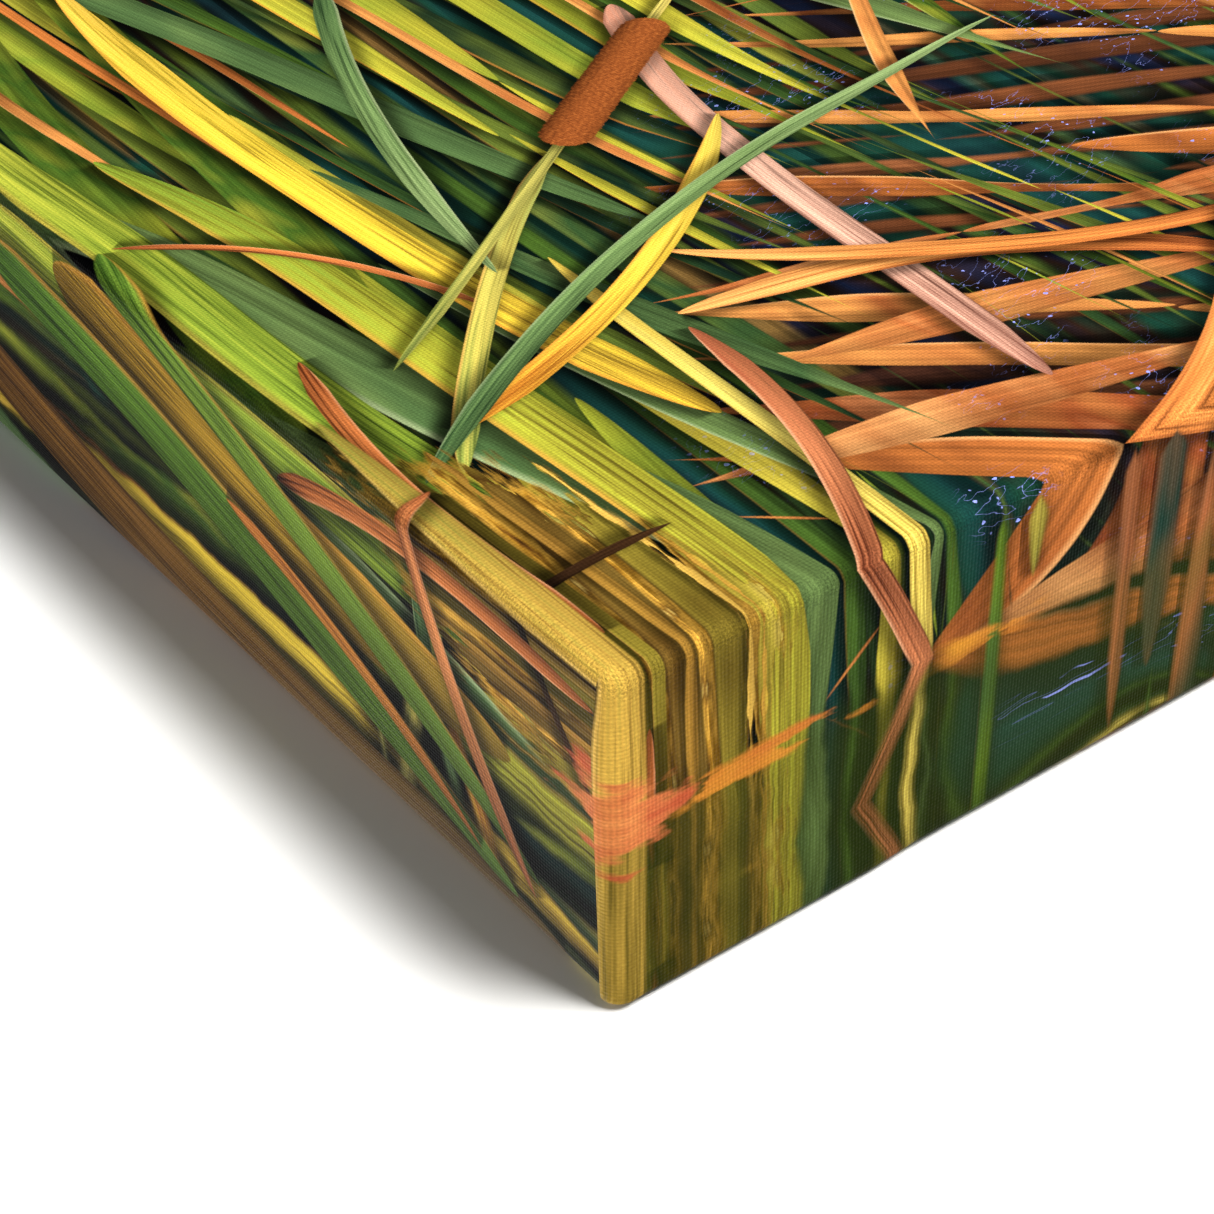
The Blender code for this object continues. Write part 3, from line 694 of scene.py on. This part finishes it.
@grouped
def timber(g, along, across, depth, seed, ring_pitch, knot_along, knot_across, knot_size):
    """Planed wood with growth rings round a far pith and one knot: tone, knot, height."""
    bow = g.noise(along * 0.006, across * 0.01, seed)
    side = across + 62.0 + g.math("SINE", seed) * 30.0
    deep = depth + 55.0 + g.math("COSINE", seed) * 20.0
    to_knot = g.length((along - knot_along) * 0.62, across - knot_across)
    pull = g.step(to_knot, knot_size * 5.0, knot_size * 0.8) * knot_size * 2.2
    wave = g.fraction((g.length(side, deep) + (bow - 0.5) * 16.0 + pull) / ring_pitch)
    late = g.step(wave, 0.35, 0.88) * g.step(wave, 1.0, 0.93)
    fibre = g.noise(along * 0.06, across * 3.2, depth * 3.2 + seed, detail=3.0)
    pores = g.noise(along * 0.35, across * 9.0, depth * 9.0, detail=1.0)
    patch = g.noise(along * 0.012, across * 0.05, depth * 0.05 + seed)
    tone = g.clamp(late * 0.55 + (fibre - 0.5) * 0.5 + (patch - 0.5) * 0.55 + 0.22)
    knot = g.step(to_knot, knot_size * 1.15, knot_size * 0.85)
    return tone, knot, late * 0.35 + fibre * 0.6 + pores * 0.25


def wood_material(name, along_x, seed, colours, ring_pitch, knot=(9999.0, 9999.0, 1.0)):
    g = Finish(name)
    x, y, z = g.place()
    along, across = (x, z) if along_x else (z, x)
    tone, knotted, height = timber(g, along, across, y, seed, ring_pitch, *knot)
    swirl = g.noise(x * 0.9, y * 0.9, z * 0.9)
    heart = g.palette(swirl, ("3d2112", "6b3f20", "8a5a30"))
    colour = g.tint(g.palette(tone, colours), 0.86 + height * 0.2)
    colour = g.blend(knotted * 0.9, colour, heart)
    return g.surface(colour, 0.5 + height * 0.12, g.bump(height, 0.00012, 0.6))


def steel_material(name, colours, roughness, stretch):
    """Plated steel: fine draw marks, dull patches and faint stains."""
    g = Finish(name)
    x, y, z = g.place()
    marks = g.noise(x * stretch[0], y * stretch[1], z * stretch[2], detail=3.0) - 0.5
    patch = g.noise(x * 0.5, y * 0.5, z * 0.5, detail=3.0)
    colour = g.tint(g.palette(patch, colours), 0.9 + marks * 0.35)
    rough = g.clamp(roughness + marks * 0.22 + (patch - 0.5) * 0.18)
    return g.surface(colour, rough, g.bump(marks, 0.00003, 0.5), metallic=1.0)


def dress_nodes():
    """Give every CAD node that stays visible its material."""
    pine = ("e3c799", "d6b27c", "c4955c", "a97742")
    beech = ("d8b288", "c99c6c", "b5834f", "98683c")
    bars = {
        "bar_bottom": (True, 1.3, (96.0, 22.0, 3.0)),
        "bar_right": (False, 2.9, (118.0, 180.0, 2.4)),
        "bar_top": (True, 4.2, (-72.0, 281.0, 2.2)),
        "bar_left": (False, 5.7, (96.0, -176.0, 3.2)),
    }
    for name, (along_x, seed, knot) in bars.items():
        dress(name, wood_material("pine_" + name, along_x, seed, pine, 2.6, knot))
    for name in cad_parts:
        if name.startswith("key_"):
            low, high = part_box(name)
            along_x = high.x - low.x > high.z - low.z
            seed = (low.x * 31 + low.z * 57) * 10 % 6
            dress(name, wood_material("beech_" + name, along_x, seed, beech, 1.5))
    zinc = steel_material("zinc_plate", ("b9b6a8", "c9c7bd", "d6d5d0"), 0.34, (8.0, 8.0, 0.5))
    wire = steel_material("staple_wire", ("9fa2a4", "b5b8ba", "c6c8ca"), 0.36, (0.5, 8.0, 8.0))
    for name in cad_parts:
        if name.startswith("hanger_"):
            dress(name, zinc)
        elif name.startswith("staple_"):
            dress(name, wire)


def dress(name, material):
    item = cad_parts[name]
    item.data.materials.clear()
    item.data.materials.append(material)


# ================================================================ cloth

def smoothstep(value, low, high):
    part = min(max((value - low) / (high - low), 0.0), 1.0)
    return part * part * (3 - 2 * part)


class Station:
    """One place round the canvas's outline.

    side is the wall whose sheet of cloth passes here; part runs along a wall or round a corner;
    lap is how far the folded flap is raised here, 0 for not at all.
    """

    def __init__(self, kind, side, part, lap=0.0):
        self.kind = kind
        self.side = side
        self.part = part
        self.lap = lap


CORNER_STEPS = 8
CREASE = math.radians(38)
WALL_STEPS = {"bottom": 82, "right": 62, "top": 82, "left": 62}


def outline_stations():
    """Anticlockwise from the bottom left corner's end of the bottom wall.

    The bottom and top sheets wrap round all four corners and lie over the side sheets, so a
    crease stands where each corner's arc meets a side wall.
    """
    stations = []
    for side in ("bottom", "right", "top", "left"):
        steps = WALL_STEPS[side]
        stations += [Station("wall", side, index / steps) for index in range(steps + 1)]
        if side in ("bottom", "top"):
            stations += [Station("corner", side + "_end", (index + 1) / CORNER_STEPS,
                                 (index + 1) / CORNER_STEPS) for index in range(CORNER_STEPS)]
            stations.append(Station("corner", side + "_end", 1.0, -1.0))
        else:
            after = "top" if side == "right" else "bottom"
            stations.append(Station("corner", after + "_start", 0.0, -1.0))
            stations += [Station("corner", after + "_start", index / CORNER_STEPS,
                                 1.0 - index / CORNER_STEPS) for index in range(CORNER_STEPS)]
    return stations


def place_on_outline(station, inset):
    """Position (x, z) and outward direction of a station on the outline moved inwards."""
    radius = max(CORNER_ROUND - inset, LEAST_ROUND)
    reach = WIDTH / 2 - inset - radius
    low, high = LOW.z + inset + radius, HIGH.z - inset - radius
    edge = WIDTH / 2 - inset
    part = station.part
    if station.kind == "wall":
        x, z, outwards = {
            "bottom": (reach * (2 * part - 1), LOW.z + inset, (0, 0, -1)),
            "right": (edge, low + (high - low) * part, (1, 0, 0)),
            "top": (reach * (1 - 2 * part), HIGH.z - inset, (0, 0, 1)),
            "left": (-edge, high + (low - high) * part, (-1, 0, 0)),
        }[station.side]
        return Vector((x, 0, z)), Vector(outwards)
    middles = {"bottom_end": (reach, low, -90), "top_start": (reach, high, 0),
               "top_end": (-reach, high, 90), "bottom_start": (-reach, low, 180)}
    x, z, start = middles[station.side]
    angle = math.radians(start + 90 * part)
    outwards = Vector((math.cos(angle), 0, math.sin(angle)))
    return Vector((x, 0, z)) + outwards * radius, outwards


def profile_path():
    """(inset, y, out, tilt) from the middle of the face, over the edge, to the hem's cut edge.

    out is the distance along the cloth outwards from the front edge; tilt turns the surface's
    direction from forwards (-90 degrees) through outwards (0) to backwards (90).
    """
    middle = HEIGHT / 2
    insets = [middle - 2 * MM, middle - 8 * MM, middle - 20 * MM, middle - 36 * MM, 95 * MM,
              75 * MM, 58 * MM, 44 * MM, 34 * MM, 26 * MM, 20 * MM, 15 * MM, 11 * MM, 8 * MM,
              6 * MM, 4.5 * MM, 3.4 * MM]
    path = [(inset, FRONT, -inset, -90.0) for inset in insets]
    for step in range(8):
        tilt = math.radians(-90 + 90 * step / 7)
        inset = FRONT_ROUND * (1 - math.cos(tilt))
        y = FRONT + FRONT_ROUND * (1 + math.sin(tilt))
        path.append((inset, y, FRONT_ROUND * (tilt + math.pi / 2 - 1), math.degrees(tilt)))
    out = FRONT_ROUND * (math.pi / 2 - 1)
    wall_start, wall_end = FRONT + FRONT_ROUND, BACK - BACK_ROUND
    for step in range(1, 17):
        y = wall_start + (wall_end - wall_start) * step / 16
        path.append((0.0, y, out + y - wall_start, 0.0))
    out += wall_end - wall_start
    for step in range(1, 6):
        tilt = math.radians(90 * step / 5)
        inset = BACK_ROUND * (1 - math.cos(tilt))
        y = BACK - BACK_ROUND + BACK_ROUND * math.sin(tilt)
        path.append((inset, y, out + BACK_ROUND * tilt, math.degrees(tilt)))
    out += BACK_ROUND * math.pi / 2
    steps = 18
    for step in range(1, steps + 1):
        run = (HEM - BACK_ROUND) * step / steps
        path.append((BACK_ROUND + run, BACK, out + run, 90.0))
    return path


def inner_path():
    """(inset, y, out) of the cloth's inner skin from the hem's cut edge back to the face."""
    inner_back, inner_front = BACK - CLOTH, FRONT + CLOTH
    path = [(HEM, inner_back, 60 * MM), (HEM * 0.5, inner_back, 50 * MM),
            (CLOTH + 0.5 * MM, inner_back, 39 * MM), (CLOTH, inner_back - 0.5 * MM, 38 * MM),
            (CLOTH, 0.0, 19 * MM), (CLOTH, inner_front + 2 * MM, 2 * MM),
            (CLOTH + 0.6 * MM, inner_front + 0.6 * MM, 0.0)]
    for inset in (2.5, 6, 12, 24, 36, 40, 60, 90, 120, 150.5):
        path.append((inset * MM, inner_front, -inset * MM))
    return path


def sheet_place(station, place, out, inset):
    """Coordinates on the flat sheet, from its bottom left corner, of a point on the canvas."""
    u, v = place.x - LOW.x, place.z - LOW.z
    if inset > FRONT_ROUND and out < 0:
        return u, v
    side = station.side
    if station.kind == "corner":
        radius = max(CORNER_ROUND - inset, LEAST_ROUND)
        turn = station.part if side.endswith("_end") else 1 - station.part
        arc_length = radius * turn * math.pi / 2
        at_left = side in ("top_end", "bottom_start")
        tangent = inset + radius
        u = tangent - arc_length if at_left else WIDTH - tangent + arc_length
        v = -out if side.startswith("bottom") else HEIGHT + out
    elif side == "bottom":
        v = -out
    elif side == "top":
        v = HEIGHT + out
    elif side == "left":
        u = -out
    else:
        u = WIDTH + out
    return u, v


def flap_lift(station, place, out):
    """How far the layers folded under a corner raise the sheet over them."""
    if station.kind == "wall" and station.side in ("left", "right"):
        return 0.0
    if station.lap < 0:
        return 0.0
    along = 0.0
    if station.kind == "wall":
        along = WIDTH / 2 - CORNER_ROUND - abs(place.x)
    layers = TUCK * smoothstep(out - along, 0.0, 9 * MM)
    return layers + station.lap * CLOTH * smoothstep(out, 0.5 * MM, 7 * MM)


def press_to_staples(place, height, staples):
    """Hold the hem down under each crown, with a shallow dimple round it."""
    for middle, direction in staples:
        gap = place - middle
        along = max(abs(gap.dot(direction)) - 5.0 * MM, 0.0)
        side = (gap - direction * gap.dot(direction)).length
        reach = math.hypot(along, max(side - 0.6 * MM, 0.0))
        free = smoothstep(reach, 0.0, 5.0 * MM)
        held = BACK + HEM_LIFT
        height = held + (height - held) * free
    return height


def staple_middles():
    """Middle and direction of each crown, in the plane of the back."""
    found = []
    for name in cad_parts:
        if not name.startswith("staple_"):
            continue
        low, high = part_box(name)
        middle = Vector(((low.x + high.x) / 2, 0, (low.z + high.z) / 2))
        if "corner" in name:
            slope = 1.0 if name.endswith(("bottom_right", "top_left")) else -1.0
            direction = Vector((1, 0, slope)).normalized()
        elif high.x - low.x > high.z - low.z:
            direction = Vector((1, 0, 0))
        else:
            direction = Vector((0, 0, 1))
        found.append((middle, direction))
    return found


def wander(place, size, seed):
    """Smooth noise of about unit height at a point, with the given feature size."""
    return noise.noise(Vector((place.x / size, seed * 7.1, place.z / size)))


def outer_point(station, step, staples):
    """Position and sheet coordinates of the outer skin."""
    inset, y, out, tilt = step
    tilt = math.radians(tilt)
    place, outwards = place_on_outline(station, inset)
    if out > (BACK - FRONT) + 18 * MM:
        frayed = smoothstep(out, BACK - FRONT + 18 * MM, BACK - FRONT + 24 * MM)
        shift = 0.9 * MM * wander(place, 14 * MM, 2) + 0.35 * MM * wander(place, 2.2 * MM, 5)
        place = place - outwards * shift * frayed
    lift = flap_lift(station, place, out)
    direction = outwards * math.cos(tilt) + Vector((0, math.sin(tilt), 0))
    point = Vector((place.x, y, place.z)) + direction * lift
    if tilt < math.radians(-89):
        point.y += SAG * smoothstep(inset, 6 * MM, 34 * MM)
        point.y += 0.05 * MM * wander(place, 60 * MM, 3)
    if abs(tilt) < math.radians(1):
        point += outwards * (0.08 * MM * wander(Vector((place.x, 0, place.z + y)), 22 * MM, 4))
    if tilt > math.radians(60):
        point.y += HEM_LIFT + 0.18 * MM * wander(place, 16 * MM, 1)
        if tilt > math.radians(89):
            point.y = press_to_staples(place, point.y, staples)
    u, v = sheet_place(station, place, out, inset)
    return point, (u, v, out)


class Skin:
    """Vertices and faces of the cloth; points at one place on the sheet share a vertex."""

    def __init__(self):
        self.shape = bmesh.new()
        self.sheet = self.shape.verts.layers.float_vector.new("sheet")
        self.known = {}

    def vertex(self, point, flat):
        key = tuple(round(value / MM, 4) for value in (*point, *flat))
        if key not in self.known:
            self.known[key] = self.shape.verts.new(point)
            self.known[key][self.sheet] = flat
        return self.known[key]

    def face(self, corners, material=0):
        corners = list(dict.fromkeys(corners))
        if len(corners) > 2:
            face = self.shape.faces.new(corners)
            face.material_index = material
            face.smooth = True

    def finish(self, name):
        """The finished object, with its two materials."""
        bmesh.ops.recalc_face_normals(self.shape, faces=self.shape.faces)
        large = [face for face in self.shape.faces if len(face.verts) > 4]
        bmesh.ops.triangulate(self.shape, faces=large)
        cloth = as_object(name, self.shape, print_material(), cotton_material())
        cloth.data.set_sharp_from_angle(angle=CREASE)
        return cloth


def inner_rings(skin, stations, hem_edge):
    """The raw inner skin, which starts along the hem's cut edge."""
    rings = []
    for inset, y, out in inner_path():
        ring = []
        if inset > 20 * MM and out < 0:
            y += SAG * smoothstep(inset, 6 * MM, 34 * MM)
        for index, station in enumerate(stations):
            place, _ = place_on_outline(station, inset)
            if out > 55 * MM:
                place = hem_edge[index].co
            flat = (place.x - LOW.x, place.z - LOW.z, out)
            ring.append(skin.vertex(Vector((place.x, y, place.z)), flat))
        rings.append(ring)
    return rings


def make_cloth():
    """One closed sheet of cloth: printed skin, cut edge and raw inner skin."""
    stations = outline_stations()
    staples = staple_middles()
    skin = Skin()
    rings = []
    for step in profile_path():
        rings.append([skin.vertex(*outer_point(station, step, staples)) for station in stations])
    last_outer = len(rings) - 1
    rings += inner_rings(skin, stations, rings[-1])
    for number, (ring, following) in enumerate(zip(rings, rings[1:])):
        for index in range(len(stations)):
            after = (index + 1) % len(stations)
            corners = ring[index], ring[after], following[after], following[index]
            skin.face(corners, 1 if number >= last_outer else 0)
    skin.face(reversed(rings[0]))
    skin.face(rings[-1], 1)
    cloth = skin.finish("canvas_cloth")
    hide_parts("canvas")
    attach(cloth, "frame")


def as_object(name, shape, *materials):
    """A linked object made of a finished bmesh."""
    mesh = bpy.data.meshes.new(name)
    shape.to_mesh(mesh)
    shape.free()
    for material in materials:
        mesh.materials.append(material)
    item = bpy.data.objects.new(name, mesh)
    bpy.context.scene.collection.objects.link(item)
    return item


def make_hem_threads():
    """Loose thread ends along the hem's cut edge."""
    dice = random.Random(7)
    shape = bmesh.new()
    stations = [s for s in outline_stations() if s.kind == "wall"]
    for _ in range(170):
        station = dice.choice(stations)
        place, outwards = place_on_outline(station, HEM)
        length = dice.uniform(1.2, 5.5) * MM
        along = Vector((outwards.z, 0, -outwards.x)) * dice.uniform(-0.9, 0.9)
        direction = (along - outwards).normalized()
        curl = dice.uniform(-0.9, 0.9)
        start = Vector((place.x, BACK - 0.25 * MM, place.z)) + outwards * 0.6 * MM
        add_thread(shape, start, direction, outwards, length, curl, 0.11 * MM)
    threads = as_object("hem_threads", shape, thread_material())
    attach(threads, "frame")


def add_thread(shape, start, direction, outwards, length, curl, radius):
    """A short curling tube that settles onto the wood."""
    steps, sides = 6, 5
    side = direction.cross(Vector((0, 1, 0)))
    floor = BAR_BACK + 0.2 * MM
    rings = []
    for step in range(steps + 1):
        part = step / steps
        centre = start + direction * (length * part) + side * (curl * length * part * part * 0.5)
        centre.y = start.y + (floor - start.y) * smoothstep(part, 0.1, 0.7)
        ring = []
        for number in range(sides):
            angle = 2 * math.pi * number / sides
            spoke = side * math.cos(angle) + Vector((0, 1, 0)) * math.sin(angle)
            ring.append(shape.verts.new(centre + spoke * radius * (1 - 0.5 * part)))
        rings.append(ring)
    for ring, following in zip(rings, rings[1:]):
        for number in range(sides):
            after = (number + 1) % sides
            shape.faces.new((ring[number], ring[after], following[after], following[number]))
    shape.faces.new(list(reversed(rings[0])))
    shape.faces.new(rings[-1])


def thread_material():
    g = Finish("thread")
    x, y, z = g.place()
    twist = g.noise(x * 6.0, y * 6.0, z * 6.0)
    colour = g.palette(twist, ("cbbd9f", "e4d9c2", "f0e8d6"))
    return g.surface(colour, 0.9, g.bump(twist, 0.00005))


# ================================================================ stage

WALL_HALF = 1.1
WALL_GAP = 0.6 * MM
# The wall fades out between these distances from the canvas's outline, in millimetres.
WALL_FADE = (170.0, 420.0)
# It also clears between these cosines of the angle of sight, so it doesn't show edge on.
WALL_EDGE_ON = (0.2, 0.08)
FLOOR_HALF = 9.0
FLOOR_DROP = 1.4


def flat_sheet(name, corners, material):
    """One quad of the surroundings."""
    shape = bmesh.new()
    shape.faces.new([shape.verts.new(corner) for corner in corners])
    sheet = as_object(name, shape, material)
    return sheet


def wall_paper(middle):
    """Pale paper, clear from behind, edge on and far from the canvas."""
    g = Finish("wall_paper")
    x, _, z = g.place()
    over_x = g.most(g.absolute(x) - WIDTH / MM / 2, 0.0)
    over_z = g.most(g.absolute(z - middle / MM) - HEIGHT / MM / 2, 0.0)
    fade = g.step(g.length(over_x, over_z), *WALL_FADE)
    geometry = g.add("ShaderNodeNewGeometry")
    behind = Value(g, geometry.outputs["Backfacing"])
    _, facing, _ = g.parts(Value(g, geometry.outputs["Incoming"]))
    fade = g.most(fade, g.step(g.absolute(facing), *WALL_EDGE_ON))
    g.surface(rgb("f7f7f6"), 0.9)
    clear = g.add("ShaderNodeBsdfTransparent")
    mix = g.add("ShaderNodeMixShader")
    g.put(g.most(fade, behind), mix.inputs[0])
    g.tree.links.new(g.shader.outputs[0], mix.inputs[1])
    g.tree.links.new(clear.outputs[0], mix.inputs[2])
    g.tree.links.new(mix.outputs[0], g.tree.nodes["Material Output"].inputs["Surface"])
    return g.material


def make_wall():
    """A pale wall just behind the canvas, seen only from the front and fading outwards."""
    y, middle = BACK + WALL_GAP, (LOW.z + HIGH.z) / 2
    low, high = middle - WALL_HALF, middle + WALL_HALF
    corners = [(-WALL_HALF, y, low), (WALL_HALF, y, low), (WALL_HALF, y, high),
               (-WALL_HALF, y, high)]
    flat_sheet("backdrop_wall", corners, wall_paper(middle)).visible_shadow = False


def make_floor():
    """A plain floor well below, lit up a little where the camera sees it."""
    half, z = FLOOR_HALF, LOW.z - FLOOR_DROP
    g = Finish("floor_paint")
    x, y, _ = g.place()
    tone = g.noise(x * 0.004, y * 0.004, detail=3.0)
    pale = g.palette(tone, ("e6e6e4", "eeeeec"))
    g.surface(pale, 0.8)
    seen = Value(g, g.add("ShaderNodeLightPath").outputs["Is Camera Ray"])
    g.put(pale, g.shader.inputs["Emission Color"])
    g.put(seen * 0.7, g.shader.inputs["Emission Strength"])
    corners = [(-half, -half, z), (half, -half, z), (half, half, z), (-half, half, z)]
    flat_sheet("studio_floor", corners, g.material)


def add_area(name, place, size, power, colour=(1.0, 1.0, 1.0)):
    """A round lamp, out of the camera's sight, aimed at the middle of the canvas."""
    light = bpy.data.lights.new(name, "AREA")
    light.shape = "DISK"
    light.size = size
    light.energy = power
    light.color = colour
    item = bpy.data.objects.new(name, light)
    bpy.context.scene.collection.objects.link(item)
    item.location = place
    item.visible_camera = False
    aim = Vector((0.0, 0.0, (LOW.z + HIGH.z) / 2))
    item.rotation_euler = (aim - Vector(place)).to_track_quat("-Z", "Y").to_euler()


# The world's strength as light, and what is added where the camera sees it.
AMBIENT = 0.09
BACKGROUND = 0.66
# Name, place, size, watts and colour of each lamp.
LAMPS = (
    ("key", (0.28, -1.3, -0.55), 0.7, 38.0, (1.0, 0.985, 0.96)),
    ("front", (0.25, -1.4, 0.27), 0.35, 10.0),
    ("side", (-1.5, -0.12, 0.1), 0.3, 7.0),
    ("rear", (-0.7, 1.4, 0.9), 0.9, 32.0),
)


def light_stage():
    world = bpy.data.worlds.new("studio")
    world.use_nodes = True
    g = Graph(world.node_tree)
    background = world.node_tree.nodes["Background"]
    seen = Value(g, g.add("ShaderNodeLightPath").outputs["Is Camera Ray"])
    g.put(rgb("fafafa"), background.inputs["Color"])
    g.put(g.mad(seen, BACKGROUND, AMBIENT), background.inputs["Strength"])
    bpy.context.scene.world = world
    for lamp in LAMPS:
        add_area(*lamp)
    bpy.context.scene.cycles.max_bounces = 3
    bpy.context.scene.cycles.diffuse_bounces = 1


# The camera, fitted to the photo's edges: its place from the near corner of the face in
# millimetres, and the directions of its right, its top and its back.
CAMERA_PLACE = Vector((-95.889, -127.268, -134.331))
CAMERA_AXES = (Vector((0.80266388, 0.02567605, -0.59587871)),
               Vector((0.365931, -0.81013655, 0.45801013)),
               Vector((-0.47098323, -0.58567868, -0.65966301)))


def aim_camera():
    """Look at the bottom left corner from in front, below and to the left."""
    place = Vector((LOW.x, FRONT, LOW.z)) + CAMERA_PLACE * MM
    camera = bpy.data.cameras.new("camera")
    camera.sensor_width = 36.0
    camera.lens = 73.87
    camera.clip_start = 0.01
    camera.clip_end = 50.0
    item = bpy.data.objects.new("camera", camera)
    bpy.context.scene.collection.objects.link(item)
    turn = Matrix(CAMERA_AXES).transposed()
    item.matrix_world = Matrix.Translation(place) @ turn.to_4x4()
    bpy.context.scene.camera = item


make_cloth()
make_hem_threads()
dress_nodes()
make_wall()
make_floor()
light_stage()
aim_camera()
bpy.context.scene.view_settings.view_transform = "Standard"
